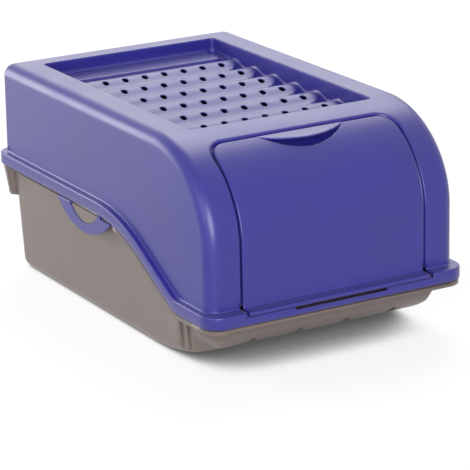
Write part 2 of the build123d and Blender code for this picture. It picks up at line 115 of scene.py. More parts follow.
# ---------------- stage (metres, watts)
FLOOR_HALF = 6.0
LAMPS = (  # name, place, target, side of the square, power
    ("Key softbox", (-2.2, -0.9, 1.0), (0, 0, 0.12), 1.2, 7),
    ("Front softbox", (-1.15, -2.5, 0.9), (0, -0.1, 0.12), 1.2, 42),
    ("Rear softbox", (1.3, 3.0, 1.4), (0, 0, 0.2), 1.8, 8),
    ("High softbox", (1.4, 1.9, 2.8), (0, 0, 0.2), 2.0, 42),
    ("Left softbox", (-1.3, 2.0, 0.5), (0, 0, 0.15), 1.2, 22),
)
WORLD_LIGHT = 0.2
FLOOR_PAINT, BACKDROP_SHARE = 1.8, 0.75
# painted shadow: the floor darkens where less of the sky towards the high softbox is open
SKY_REACH, SKY_TOWARDS = 0.13, (0.4, 0.55, 0.73)
SKY_CLOSED, SKY_OPEN, PAINTED_SHADOW_LEAST = 0.08, 0.42, 0.05
CAMERA_PLACE = (-1.263783, -2.225304, 0.885136)
CAMERA_AZIMUTH, CAMERA_HEIGHT, CAMERA_ROLL = -29.911, 17.736, -1.212  # degrees
FOCAL_PIXELS, FRAME_PIXELS, SENSOR_WIDTH = 2531.97, 470, 36.0


def length(name, description, millimetres):
    """A length on the panel."""
    return bpy.props.FloatProperty(name=name, description=description, default=millimetres * MM,
                                   subtype="DISTANCE", unit="LENGTH")


class BinSizes(bpy.types.PropertyGroup):
    """Finish sizes of the bin that can be changed without touching its frame."""
    wall: length("Wall", "Thickness of the moulded walls", 2.2)
    rib: length("Tray floor", "Thickness of the roof tray's rippled floor", 1.0)
    edge: length("Edge round", "Round on the hood's side edges", 13.5)
    band_edge: length("Band edge", "Round on the band's upper edge", 1.8)
    foot_fillet: length("Foot fillet", "Hollow where the hood wall meets its shoulder", 1.9)
    lip_roll: length("Lip roll", "Reach of the roof's round down into the flap's gap", 2.6)
    lip_drop: length("Lip drop", "Depth of the roof's round down into the flap's gap", 4.6)
    side_roll: length("Side roll", "Round on the opening's side edges", 1.4)
    tray_fillet: length("Tray fillet", "Hollow between the roof tray's floor and end walls", 4.0)
    tray_kerb: length("Tray kerb", "Rounded kerb along the foot of the tray's side walls", 1.7)


class BinColours(bpy.types.PropertyGroup):
    """Colours of the two mouldings and of the stage, as sRGB hex values."""
    hood: bpy.props.StringProperty(
        name="Hood", description="Violet blue of the hood, flap and clips", default="2B2495")
    tub: bpy.props.StringProperty(
        name="Tub", description="Warm grey of the tub", default="7E6E68")
    floor: bpy.props.StringProperty(
        name="Floor", description="Pale floor and backdrop", default="C0C0C0")


# ---------------- small tools
def linear(code):
    """sRGB hex to a linear colour: c/12.92 below 0.04045, else ((c+0.055)/1.055)^2.4."""
    values = [int(code[i:i + 2], 16) / 255 for i in (0, 2, 4)]
    return [v / 12.92 if v <= 0.04045 else ((v + 0.055) / 1.055) ** 2.4 for v in values] + [1.0]


def add_node(tree, kind, settings=(), inputs=(), links=()):
    """Adds one node: settings are its properties, inputs its socket values, links its feeds."""
    node = tree.nodes.new(kind)
    for key, value in dict(settings).items():
        setattr(node, key, value)
    for key, value in dict(inputs).items():
        node.inputs[key].default_value = value
    for key, socket in dict(links).items():
        tree.links.new(socket, node.inputs[key])
    return node


DRIFT_MM, GRAIN_MM = 60, 0.9


def polypropylene(name, code, roughness, tint):
    """Injection-moulded polypropylene.

    A satin skin from a lightly eroded mould: a fine even grain in the bump, a slow change of
    gloss where the melt flowed, and a faint drift of shade across the moulding. Seen at a
    shallow angle the fine grain turns milky, which the sheen gives.
    """
    material = bpy.data.materials.new(name)
    material.use_nodes = True
    tree = material.node_tree
    shader = tree.nodes["Principled BSDF"]
    base = linear(code)
    for key, value in (("Base Color", base), ("IOR", 1.49), ("Specular IOR Level", 0.8),
                       ("Sheen Weight", 0.15), ("Sheen Roughness", 0.45),
                       ("Roughness", roughness)):
        shader.inputs[key].default_value = value
    place = add_node(tree, "ShaderNodeTexCoord")
    # melt-flow drift, in patches
    drift = add_node(tree, "ShaderNodeTexNoise", inputs={"Scale": 1000 / DRIFT_MM, "Detail": 3.0},
                     links={"Vector": place.outputs["Object"]})
    shade, gloss = (
        add_node(tree, "ShaderNodeMapRange",
                 inputs={"From Min": 0.3, "From Max": 0.7, "To Min": low, "To Max": high},
                 links={"Value": drift.outputs["Fac"]})
        for low, high in ((0.0, 1.0), (roughness - 0.03, roughness + 0.04)))
    darker = [c * (1 - tint) for c in base[:3]] + [1.0]
    lighter = [min(1.0, c * (1 + tint)) for c in base[:3]] + [1.0]
    colour = add_node(tree, "ShaderNodeMix", settings={"data_type": "RGBA"},
                      inputs={6: darker, 7: lighter},
                      links={"Factor": shade.outputs["Result"]})
    tree.links.new(colour.outputs[2], shader.inputs["Base Color"])
    tree.links.new(gloss.outputs["Result"], shader.inputs["Roughness"])
    # mould grain; real grain is about 0.1 mm and is drawn coarser so that it shows
    grain = add_node(tree, "ShaderNodeTexNoise", inputs={"Scale": 1000 / GRAIN_MM, "Detail": 2.0},
                     links={"Vector": place.outputs["Object"]})
    bump = add_node(tree, "ShaderNodeBump", inputs={"Strength": 0.08, "Distance": 0.0002},
                    links={"Height": grain.outputs["Fac"]})
    tree.links.new(bump.outputs["Normal"], shader.inputs["Normal"])
    return material


def new_object(name, data):
    """An object in the scene that shows a mesh, a lamp or a camera."""
    item = bpy.data.objects.new(name, data)
    bpy.context.scene.collection.objects.link(item)
    return item


def facing(place, side, up, back):
    """Matrix of an object at a place, with its three axes along the given directions."""
    turn = Matrix([list(row) for row in np.column_stack([side, up, back])]).to_4x4()
    return Matrix.Translation(place) @ turn


def smooth(mesh, sharp_degrees):
    """Joins points that coincide and shades the mesh smooth, except over sharp edges."""
    joined = bmesh.new()
    joined.from_mesh(mesh)
    bmesh.ops.remove_doubles(joined, verts=joined.verts, dist=1e-6)
    joined.to_mesh(mesh)
    joined.free()
    mesh.shade_smooth()
    mesh.set_sharp_from_angle(angle=math.radians(sharp_degrees))


def make_piece(name, points, faces, material, body, solid=None):
    """A named mesh object from points in millimetres and face index rows."""
    mesh = bpy.data.meshes.new(name)
    mesh.from_pydata((np.asarray(points) * MM).tolist(), [], faces)
    mesh.validate()
    smooth(mesh, 50)
    mesh.materials.append(material)
    piece = new_object(name, mesh)
    if solid:
        skin = piece.modifiers.new("Wall", "SOLIDIFY")
        skin.thickness = solid
        skin.offset = -1.0
        skin.use_even_offset = False
    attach(piece, body)
    return piece


def merged_copy(node, name, material):
    """A copy of a CAD node with its loose triangles joined, so that rounds shade smoothly."""
    source = frame["nodes"][node]
    mesh = source.data.copy()
    mesh.name = name
    smooth(mesh, 28)
    mesh.materials.clear()
    mesh.materials.append(material)
    piece = new_object(name, mesh)
    even = piece.modifiers.new("Even shading", "WEIGHTED_NORMAL")
    even.keep_sharp = True
    even.weight = 100
    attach(piece, source["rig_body"])
    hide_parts(node)
    return piece


def spaced(stops, steps):
    """Values that run through the stops with about the given step between each pair."""
    parts = [np.array([stops[0]])]
    for a, b, step in zip(stops[:-1], stops[1:], steps):
        count = max(1, int(round(abs(b - a) / step)))
        parts.append(np.linspace(a, b, count + 1)[1:])
    return np.concatenate(parts)


def mirrored(values):
    """The values with their mirror image below zero, sorted, zero kept once."""
    return np.unique(np.round(np.concatenate([-values, values]), 6))


# ---------------- forms
def parting_z(y):
    """Height of the parting line: level, a convex arc, a straight fall, a hollow arc, level."""
    turn = math.radians(28)
    crest, hollow = 205.0, 25.0
    fall = PARTING_REAR_Z - PARTING_FRONT_Z
    straight = (fall - (crest + hollow) * (1 - math.cos(turn))) / math.sin(turn)
    y1 = -crest * math.sin(turn)
    z1 = PARTING_REAR_Z - crest * (1 - math.cos(turn))
    y2 = y1 - straight * math.cos(turn)
    y3 = y2 - hollow * math.sin(turn)
    y = np.asarray(y, float)
    z = np.full_like(y, PARTING_REAR_Z)
    arc = (y < 0) & (y >= y1)
    z = np.where(arc, PARTING_REAR_Z - crest + np.sqrt(np.maximum(crest ** 2 - y ** 2, 0)), z)
    z = np.where((y < y1) & (y >= y2), z1 + (y - y1) * math.tan(turn), z)
    low = (y < y2) & (y >= y3)
    under = PARTING_FRONT_Z + hollow - np.sqrt(np.maximum(hollow ** 2 - (y - y3) ** 2, 0))
    z = np.where(low, under, z)
    return np.where(y < y3, PARTING_FRONT_Z, z)


def soft_step(value, width):
    """Smooth step from 0 to 1 at value 0: one over one plus exp(-value / width)."""
    return 1 / (1 + np.exp(-value / width))


def tray_floor_z(x, y):
    """Height of the roof tray's floor.

    A cosine across the ridges, level ledges at both ends. Each ridge ends in a half-round pad:
    outside the pad the floor sinks by PAD_DROP over a short smooth step, and rises again to the
    wave close to the tray's wall.
    """
    wave = CREST_Z - RIPPLE_HEIGHT / 2 + RIPPLE_HEIGHT / 2 * np.cos(
        2 * np.pi * (y - REAR_CREST_Y) / RIPPLE_PITCH)
    front = REAR_CREST_Y - (RIPPLES - 1 + 0.75) * RIPPLE_PITCH
    step = np.maximum(soft_step(y - LEDGE_FRONT_Y, 0.5), soft_step(front - y, 0.5))
    along = np.mod(y - REAR_CREST_Y + RIPPLE_PITCH / 2, RIPPLE_PITCH) - RIPPLE_PITCH / 2
    end = np.hypot(np.maximum(np.abs(x) - PAD_END_X + PAD_ROUND, 0), along * 0.9) - PAD_ROUND
    outside = soft_step(end, 0.35) * (np.abs(x) > PAD_END_X - PAD_ROUND) * (1 - step)
    near_wall = soft_step(np.abs(x) - PAD_END_X - 1.9, 0.3)
    ledge = rounded_box(x, y, LEDGE_END_X, LEDGE_FRONT_Y - 2, TRAY_REAR_Y + 20, 10.0)
    outside = outside + step * (y > 0) * soft_step(ledge, 0.35)
    groove = PAD_DROP * outside * (1 - near_wall)
    return wave * (1 - step) + LEDGE_Z * step - groove


def rounded_box(x, y, half_x, y_low, y_high, corner):
    """Signed distance to a rounded rectangle in plan, negative inside."""
    middle, half_y = (y_low + y_high) / 2, (y_high - y_low) / 2
    dx = np.abs(x) - (half_x - corner)
    dy = np.abs(y - middle) - (half_y - corner)
    outside = np.hypot(np.maximum(dx, 0), np.maximum(dy, 0))
    return outside + np.minimum(np.maximum(dx, dy), 0) - corner


def slope_of(field, x, y):
    """Slope of a field at points, by small steps both ways."""
    gx = (field(x + 0.01, y) - field(x - 0.01, y)) / 0.02
    gy = (field(x, y + 0.01) - field(x, y - 0.01)) / 0.02
    return gx, gy


def trimmed(xs, ys, field, want_outside=True):
    """Trims a grid of (x, y) at field = 0 and slides the cut's points onto that line.

    A cell goes when its middle is on the wrong side; each point between a kept and a dropped
    cell then moves down the field's slope until the field is zero. Returns x, y, the cells kept
    and the numbers of the points on the cut.
    """
    x, y = np.meshgrid(xs, ys)
    sign = 1.0 if want_outside else -1.0
    middle_x = (x[1:, 1:] + x[:-1, :-1]) / 2
    middle_y = (y[1:, 1:] + y[:-1, :-1]) / 2
    keep = sign * field(middle_x, middle_y) > 0
    near, gone = np.zeros(x.shape, bool), np.zeros(x.shape, bool)
    for rows in (slice(None, -1), slice(1, None)):
        for columns in (slice(None, -1), slice(1, None)):
            near[rows, columns] |= keep
            gone[rows, columns] |= ~keep
    cut = near & gone
    px, py = x[cut], y[cut]
    for _ in range(4):
        value = field(px, py)
        gx, gy = slope_of(field, px, py)
        size = np.maximum(gx ** 2 + gy ** 2, 1e-9)
        px, py = px - value * gx / size, py - value * gy / size
    x[cut], y[cut] = px, py
    return x, y, keep, cut


# ---------------- profile of hood and flap
PROFILE_ROWS, NOSE_ROWS = 60, 400     # points on each straight or round, and on the nose
FAR_FRONT_Y = -600.0                  # well in front of the bin: an opening that has no front
BETWEEN_Y = -140.0                    # between the roof tray and the flap's opening


def arc_table(pieces):
    """Joins runs of (y, z, normal y, normal z) and adds the distance walked from the start."""
    rows = np.concatenate(pieces)
    step = np.hypot(np.diff(rows[:, 0]), np.diff(rows[:, 1]))
    walked = np.concatenate([[0], np.cumsum(step)])
    keep = np.concatenate([[True], step > 1e-6])
    return np.column_stack([walked, rows])[keep]


def run(y, z, ny, nz):
    """One run of a profile as rows of (y, z, normal y, normal z)."""
    return np.column_stack(np.broadcast_arrays(y, z, ny, nz))


def nose_run(first_y):
    """Quarter ellipse from first_y down to the front wall: y, z by the ellipse's own angle."""
    first = math.asin((NOSE_CENTRE_Y - first_y) / NOSE_DEPTH)
    angle = np.linspace(first, math.pi / 2, NOSE_ROWS)
    ny, nz = -np.sin(angle) / NOSE_DEPTH, np.cos(angle) / NOSE_DROP
    size = np.hypot(ny, nz)
    return run(NOSE_CENTRE_Y - NOSE_DEPTH * np.sin(angle),
               NOSE_CENTRE_Z + NOSE_DROP * np.cos(angle), ny / size, nz / size)


def hood_profile():
    """Rear wall, rear round, roof, nose and front wall, from the rear foot to the front foot."""
    lean = math.atan(REAR_LEAN / ROOF_Z)
    round_z = ROOF_Z - REAR_ROUND
    z = np.linspace(100, round_z + REAR_ROUND * math.sin(lean), PROFILE_ROWS)
    rear = run(REAR_Y - REAR_LEAN * z / ROOF_Z, z, math.cos(lean), math.sin(lean))
    round_y = REAR_Y - REAR_LEAN * round_z / ROOF_Z - REAR_ROUND / math.cos(lean)
    turn = np.linspace(lean, math.pi / 2, PROFILE_ROWS)
    corner = run(round_y + REAR_ROUND * np.cos(turn), round_z + REAR_ROUND * np.sin(turn),
                 np.cos(turn), np.sin(turn))
    roof = run(np.linspace(round_y, NOSE_CENTRE_Y, 200), ROOF_Z, 0.0, 1.0)
    front = run(NOSE_FRONT_Y, np.linspace(NOSE_CENTRE_Z, 60, PROFILE_ROWS), -1.0, 0.0)
    return arc_table([rear, corner, roof, nose_run(NOSE_CENTRE_Y), front])


def flap_profile(fillet):
    """Nose from the flap's upper edge, front wall, hollow, foot plate and the hinge barrel."""
    front_z = np.linspace(NOSE_CENTRE_Z, SHELF_Z + fillet, PROFILE_ROWS)
    front = run(NOSE_FRONT_Y, front_z, -1.0, 0.0)
    turn = np.linspace(0, math.pi / 2, 16)
    hollow = run(NOSE_FRONT_Y - fillet * (1 - np.cos(turn)),
                 SHELF_Z + fillet * (1 - np.sin(turn)), -np.cos(turn), np.sin(turn))
    plate = run(np.linspace(NOSE_FRONT_Y - fillet, BARREL_Y, 10), SHELF_Z, 0.0, 1.0)
    roll = np.linspace(0, math.radians(200), 40)
    barrel = run(BARREL_Y - BARREL_RADIUS * np.sin(roll), BARREL_Z + BARREL_RADIUS * np.cos(roll),
                 -np.sin(roll), np.cos(roll))
    return arc_table([nose_run(FLAP_REAR_Y), front, hollow, plate, barrel])


def on_profile(table, walked):
    """Point and normal on a profile table at the walked distance: y, z, normal y, normal z."""
    y, z, ny, nz = (np.interp(walked, table[:, 0], table[:, i]) for i in (1, 2, 3, 4))
    size = np.hypot(ny, nz)
    return y, z, ny / size, nz / size


def walked_to(table, y):
    """Distance walked to where the profile passes y on its way to the front."""
    return np.interp(-float(y), -table[:, 1], table[:, 0])


def ribbon(table, across, walked, flat_half, edge):
    """Points on a profile swept across X, with rounded side edges.

    Within flat_half the point is the profile's own. Beyond it, the turn grows as the distance
    across over the edge radius: x gains edge * sin(turn) and the point sinks along the
    profile's normal by edge * (1 - cos(turn)).
    """
    y, z, ny, nz = on_profile(table, walked)
    side = np.sign(across)
    turn = np.clip((np.abs(across) - flat_half) / edge, 0, math.pi / 2)
    x = np.where(turn > 0, side * (flat_half + edge * np.sin(turn)), across)
    sink = edge * (1 - np.cos(turn))
    return np.stack([x, y - ny * sink, z - nz * sink], -1)


def swept_edge(line, inward, normal, steps):
    """Carries a section along a line of points: each step is (reach along inward, drop)."""
    return np.stack([line + inward * reach - normal * drop for reach, drop in steps])


def quarter_round(radius):
    """Section of a rolled-over edge: reach = r sin(turn), drop = r (1 - cos(turn))."""
    turn = np.linspace(0, math.pi / 2, 5)
    return list(zip(radius * np.sin(turn), radius * (1 - np.cos(turn))))


class Shell:
    """Collects points and faces of one moulding's skin."""

    def __init__(self):
        self.points, self.faces, self.count = [], [], 0

    def add_grid(self, points, keep=None, flip=False, closed=False):
        """Adds a grid of points in rows and columns, and a quad for every cell that is kept.

        closed joins the last column to the first.
        """
        if closed:
            points = np.concatenate([points, points[:, :1]], 1)
        rows, columns = points.shape[:2]
        index = np.arange(rows * columns).reshape(rows, columns) + self.count
        quads = np.stack([index[:-1, :-1], index[1:, :-1], index[1:, 1:], index[:-1, 1:]], -1)
        quads = quads.reshape(-1, 4)[:, ::-1 if flip else 1]
        if keep is not None:
            quads = quads[keep.reshape(-1)]
        self.faces += quads.tolist()
        self.points.append(points.reshape(-1, 3))
        self.count += rows * columns

    def add_polygon(self, points, flip=False):
        """Adds one flat face through the points."""
        order = list(range(self.count, self.count + len(points)))
        self.faces.append(order[::-1] if flip else order)
        self.points.append(points)
        self.count += len(points)

    def finish(self, name, material, body, slot, solid=None):
        """The finished piece; solid is the wall that it gets on its inner side, in metres."""
        points = np.concatenate(self.points)
        return make_piece(name, points, self.faces, material, body, solid)


def cut_line(table, field, px, ps, centre):
    """The points of a cut in order round a centre, with the field's unit slope and normal."""
    order = np.argsort(np.arctan2(centre - ps, px))
    px, ps = px[order], ps[order]
    gx, gs = slope_of(field, px, ps)
    size = np.maximum(np.hypot(gx, gs), 1e-9)
    gx, gs = gx / size, gs / size
    y, z, ny, nz = on_profile(table, ps)
    y2, z2 = on_profile(table, ps + 0.05)[:2]
    size = np.maximum(np.hypot(y2 - y, z2 - z), 1e-6)
    line = np.column_stack([px, y, z])
    slope = np.column_stack([gx, gs * (y2 - y) / size, gs * (z2 - z) / size])
    normal = np.column_stack([np.zeros_like(px), ny, nz])
    return line, slope, normal


# ---------------- hood
def opening_roll(y, sizes):
    """Radius of the opening's rolled edge: side_roll in front, smoothly up to lip_roll."""
    lip, side_roll = sizes.lip_roll / MM, sizes.side_roll / MM
    blend = np.clip((y - ROLL_FRONT_Y) / ROLL_RUN, 0, 1)
    blend = blend * blend * (3 - 2 * blend)
    return side_roll + (lip - side_roll) * blend


def tray_wall(line, inward, sizes):
    """Section from the tray's rolled rim down its wall to the floor.

    The wall's foot has a hollow at the tray's ends and a kerb along its sides, both quarter
    rounds, blended by how far the wall faces front or back.
    """
    hollow, kerb = sizes.tray_fillet / MM, sizes.tray_kerb / MM
    upward = np.tile([0.0, 0.0, 1.0], (len(line), 1))
    rows = list(swept_edge(line, inward, upward, quarter_round(TRAY_RIM)))
    wall = rows[-1]
    at_end = np.clip(np.abs(inward[:, 1]) * 1.5 - 0.25, 0, 1)
    floor = tray_floor_z(wall[:, 0], wall[:, 1])
    top = hollow * at_end + kerb * (1 - at_end)
    for share in (0.33, 0.66):
        row = wall.copy()
        row[:, 2] += (floor + top - row[:, 2]) * share
        rows.append(row)
    for turn in np.linspace(0, math.pi / 2, 8):
        sine, cosine = math.sin(turn), math.cos(turn)
        reach = hollow * (1 - cosine) * at_end + kerb * sine * (1 - at_end)
        lift = hollow * (1 - sine) * at_end + kerb * cosine * (1 - at_end)
        row = wall + inward * reach[:, None]
        row[:, 2] = tray_floor_z(row[:, 0], row[:, 1]) + lift
        rows.append(row)
    return np.stack(rows)


def opening_wall(line, inward, normal, sizes):
    """Section of the flap's opening: a rolled edge, a short wall and the flap's seat.

    The roll reaches opening_roll inward. It drops as far at the sides, and by lip_drop at the
    upper edge. The seat's reach fades to nothing in the middle of the upper edge.
    """
    lip, side_roll = sizes.lip_roll / MM, sizes.side_roll / MM
    x, y = line[:, 0], line[:, 1]
    radius = opening_roll(y, sizes)[:, None]
    drop = radius * (1 + (sizes.lip_drop / sizes.lip_roll - 1) * (radius - side_roll)
                     / (lip - side_roll))
    rows = [line + inward * radius * np.sin(turn) - normal * drop * (1 - np.cos(turn))
            for turn in np.linspace(0, math.pi / 2, 8)]
    wall = rows[-1]
    deep = np.maximum(SEAT_DEPTH - drop, 0.6)
    rows.append(wall - normal * deep)
    seat = np.clip((np.abs(x) - SEAT_CLEAR_X) / SEAT_CLEAR_RUN, 0, 1)[:, None]
    seat = np.where((y > SEAT_CLEAR_Y)[:, None], seat, 1.0)
    for reach in (0.6, SEAT_REACH):
        rows.append(wall - normal * (deep + SEAT_STEP) + inward * reach * seat)
    return np.stack(rows)


def band_reach(loop, edge, foot_front, foot_rear):
    """Direction and distance from each point of the wall's foot to the band's face.

    On a corner a point goes to the same angle on the band's own corner arc, along a side to the
    same share of the band's straight, and at an end straight out.
    """
    x, y = loop[:, 0], loop[:, 1]
    corner_x = WALL_HALF_X - edge
    past_end = (y > foot_rear + 1e-6) | (y < foot_front - 1e-6)
    in_corner = (np.abs(x) > corner_x + 1e-6) & past_end
    ux = (x - np.sign(x) * corner_x) / edge
    uy = (y - np.where(y > 0, foot_rear, foot_front)) / edge
    size = np.maximum(np.hypot(ux, uy), 1e-9)
    ux, uy = ux / size, uy / size
    middle_x, middle_y = BAND_HALF_X - BAND_CORNER, BAND_HALF_Y - BAND_CORNER
    corner = np.column_stack([np.sign(x) * middle_x + BAND_CORNER * ux,
                              np.sign(y) * middle_y + BAND_CORNER * uy])
    on_side = np.abs(x) > WALL_HALF_X - 1e-3
    side = np.column_stack([np.sign(x) * BAND_HALF_X,
                            np.interp(y, [foot_front, foot_rear], [-middle_y, middle_y])])
    end = np.column_stack([x, np.sign(y) * BAND_HALF_Y])
    band = np.where(in_corner[:, None], corner, np.where(on_side[:, None], side, end))
    reach = np.hypot(band[:, 0] - x, band[:, 1] - y)
    return (band - loop) / reach[:, None], reach


def add_band(shell, loop, out, reach, sizes):
    """Adds the foot's hollow, the shoulder, the band and its seat, cut at the opening.

    Each ring is the outline of the wall's foot moved outward by a distance, and set a lift
    above the band's upper edge. The hollow and the band's edge are quarter rounds.
    """
    fillet, round_off = sizes.foot_fillet / MM, sizes.band_edge / MM

    def level(distance, lift):
        place = loop + out * np.reshape(distance, (-1, 1))
        return np.column_stack([place, parting_z(place[:, 1]) + BAND_HEIGHT + lift])

    rows = []
    for turn in np.linspace(0, math.pi / 2, 8):
        rows.append(level(fillet * (1 - math.cos(turn)), fillet * (1 - math.sin(turn))))
    rows.append(level(fillet + (reach - fillet - round_off) * 0.5, 0.0))
    for turn in np.linspace(0, math.pi / 2, 7):
        rows.append(level(reach - round_off * (1 - math.sin(turn)),
                          -round_off * (1 - math.cos(turn))))
    face = len(rows)
    for drop in (SHELF_Z - BARREL_Z + BARREL_RADIUS, BAND_HEIGHT - BAND_GAP - 0.7):
        rows.append(level(reach, -drop))
    at_slot = (np.abs(loop[:, 0]) < FINGER_HALF + 0.1) & (loop[:, 1] < 0)
    rows[face][at_slot, 2] -= FINGER_DEEP
    rows.append(level(reach - 0.5, BAND_GAP - BAND_HEIGHT))
    rows.append(level(reach - SEAT_IN, BAND_GAP - BAND_HEIGHT))
    rows.append(level(reach - SEAT_IN - 0.2, 0.05 - BAND_HEIGHT))
    rings = np.stack(rows)
    joined = np.concatenate([rings, rings[:, :1]], 1)
    middle = (joined[:-1, 1:] + joined[:-1, :-1]) / 2
    opened = np.abs(middle[..., 0]) < OPEN_HALF_X + sizes.side_roll / MM - 0.2
    opened &= middle[..., 1] < NOSE_FRONT_Y + 1
    opened[face:] = False
    shell.add_grid(rings, keep=~opened, closed=True, flip=True)


def add_hinge_ledge(shell, half):
    """Adds the ledge behind the barrel: a section in Y and Z, carried straight across X.

    It reaches half to each side and is open at the finger slot.
    """
    x = mirrored(spaced([0, FINGER_HALF, FINGER_HALF + 0.4, half], [4, 0.4, 4]))
    front_z = BARREL_Z - BARREL_RADIUS - FINGER_DEEP * (np.abs(x) < FINGER_HALF + 0.1)
    section = [(-BAND_HALF_Y, 0.0), (-BAND_HALF_Y + 0.8, 0.3), (BARREL_Y, -0.6),
               (BARREL_Y + 3.2, 1.2), (-231.0, HINGE_RISE), (HINGE_REAR_Y, HINGE_RISE)]
    rows = [np.column_stack(np.broadcast_arrays(x, y, front_z + lift)) for y, lift in section]
    keep = np.tile(np.abs((x[1:] + x[:-1]) / 2) > FINGER_HALF, (len(section) - 1, 1))
    keep[0] = True
    shell.add_grid(np.stack(rows), keep, flip=True)


def hood_skin(sizes):
    """The hood's outer skin: ribbon, flat sides, foot, shoulder and band, and both openings."""
    edge, fillet = sizes.edge / MM, sizes.foot_fillet / MM
    lip, side_roll = sizes.lip_roll / MM, sizes.side_roll / MM
    flat = WALL_HALF_X - edge
    table = hood_profile()
    rear_part, front_part = table[:PROFILE_ROWS], table[-PROFILE_ROWS:]
    roof_end = table[np.argmax(table[:, 2] >= ROOF_Z - 1e-6), 0]
    rear_foot = np.interp(PARTING_REAR_Z + BAND_HEIGHT + fillet,
                          rear_part[:, 2], rear_part[:, 0])
    front_foot = np.interp(-(SHELF_Z + fillet), -front_part[:, 2], front_part[:, 0])

    def open_field(x, walked):
        y = on_profile(table, walked)[0]
        d = rounded_box(x, y, OPEN_HALF_X, FAR_FRONT_Y, OPEN_REAR_Y, OPEN_CORNER)
        return d - opening_roll(y, sizes)

    def tray_field(x, walked):
        y = on_profile(table, walked)[0]
        d = rounded_box(x, y, TRAY_HALF_X, TRAY_FRONT_Y, TRAY_REAR_Y, TRAY_CORNER)
        return d - TRAY_RIM

    def keep_field(x, walked):
        return np.minimum(open_field(x, walked), tray_field(x, walked))

    across = spaced([0, FINGER_HALF, FINGER_HALF + 0.4, 80, OPEN_HALF_X + side_roll, 116, flat],
                    [4, 0.4, 4, 1.6, 1.7, 3.5])
    around = flat + edge * np.linspace(0, math.pi / 2, 10)[1:]
    across = mirrored(np.concatenate([across, around]))
    upper = table[PROFILE_ROWS:]
    stops = [walked_to(upper, y) for y in (
        TRAY_REAR_Y + 6, TRAY_REAR_Y - 6, TRAY_FRONT_Y + 6, TRAY_FRONT_Y - 6,
        OPEN_REAR_Y + lip + 2, -190, NOSE_FRONT_Y + 4)]
    walked = spaced([rear_foot, rear_part[-1, 0], roof_end, *stops, front_foot],
                    [12, 2.2, 4, 1.5, 8, 1.5, 3.5, 1.6, 3, 6])
    x, s, keep, cut = trimmed(across, walked, keep_field)
    points = ribbon(table, x, s, flat, edge)
    shell = Shell()
    shell.add_grid(points, keep)

    # rolled edges of both openings
    is_tray = points[cut][:, 1] > BETWEEN_Y
    line, slope, _ = cut_line(table, tray_field, x[cut][is_tray], s[cut][is_tray],
                              walked_to(upper, (TRAY_FRONT_Y + TRAY_REAR_Y) / 2))
    shell.add_grid(tray_wall(line, -slope, sizes), closed=True, flip=True)
    line, slope, normal = cut_line(table, open_field, x[cut][~is_tray], s[cut][~is_tray],
                                   front_foot)
    shell.add_grid(opening_wall(line, -slope, normal, sizes), flip=True)

    # flat side faces, down to the hollow at the wall's foot
    foot_front, foot_rear = points[-1, 0, 1], points[0, 0, 1]
    base_y = spaced([foot_rear, 20, -175, foot_front], [12, 4, 8])
    base_z = parting_z(base_y) + BAND_HEIGHT + fillet
    for column, side in ((0, -1), (-1, 1)):
        base = np.column_stack([np.full_like(base_y, side * WALL_HALF_X), base_y, base_z])
        outline = np.concatenate([points[:, column], base[::-1][1:-1]])
        shell.add_polygon(outline, flip=side < 0)

    # foot, shoulder, band and ledge, from the outline of the wall's foot
    left = np.column_stack([np.full_like(base_y, -WALL_HALF_X), base_y])
    loop = np.concatenate([points[0, :, :2], (left * [-1, 1])[1:-1],
                           points[-1, ::-1, :2], left[::-1][1:-1]])
    out, reach = band_reach(loop, edge, foot_front, foot_rear)
    add_band(shell, loop, out, reach, sizes)
    add_hinge_ledge(shell, OPEN_HALF_X + side_roll)
    return shell


def tray_floor():
    """The tray's rippled floor, trimmed where the distance to a vent slot is zero.

    That is the distance to the slot's middle line, less half its width.
    """
    def slot_field(x, y):
        across = np.mod(x, SLOT_PITCH) - SLOT_PITCH / 2
        first = REAR_CREST_Y - SLOT_SET_OUT
        number = np.clip(np.round((y - first) / RIPPLE_PITCH), -(RIPPLES - 1), 0)
        along = y - first - number * RIPPLE_PITCH
        d = np.hypot(across, np.maximum(np.abs(along) - SLOT_LENGTH / 2 + SLOT_WIDTH / 2, 0))
        d = d - SLOT_WIDTH / 2
        return np.where(np.abs(x) > SLOTS / 2 * SLOT_PITCH, 5.0, d)

    columns = [(k + 0.5) * SLOT_PITCH for k in range(SLOTS // 2)]
    stops = [0.0] + [c + aside for c in columns for aside in (-4, 4)] + [TRAY_HALF_X]
    xs = mirrored(spaced(stops, [5.0, 1.0] * len(columns) + [0.5]))
    rows = [REAR_CREST_Y - SLOT_SET_OUT - k * RIPPLE_PITCH for k in range(RIPPLES - 1, -1, -1)]
    stops = [TRAY_FRONT_Y] + [r + aside for r in rows for aside in (-9, 9)]
    stops += [LEDGE_FRONT_Y - 4, LEDGE_FRONT_Y + 4, TRAY_REAR_Y]
    ys = spaced(stops, [1.5, 0.9] * len(rows) + [1.5, 0.4, 6])
    x, y, keep, _ = trimmed(xs, ys, slot_field)
    shell = Shell()
    shell.add_grid(np.stack([x, y, tray_floor_z(x, y)], -1), keep, flip=True)
    return shell


# ---------------- flap
GRIP_HALF, GRIP_REACH, GRIP_Z, GRIP_SLOPE, GRIP_THICK = 50.0, 18.0, 220.0, 0.1228, 2.0
GRIP_SET_IN, TIP_SHARE = 0.3, 12      # behind the flap's edge; share of the grip at full thickness
POCKET_AHEAD, POCKET_DEEP = 3.0, 7.0
FLAP_PROFILE_STOPS = [460, 475, 486]  # profile rows where front wall, hollow and plate end


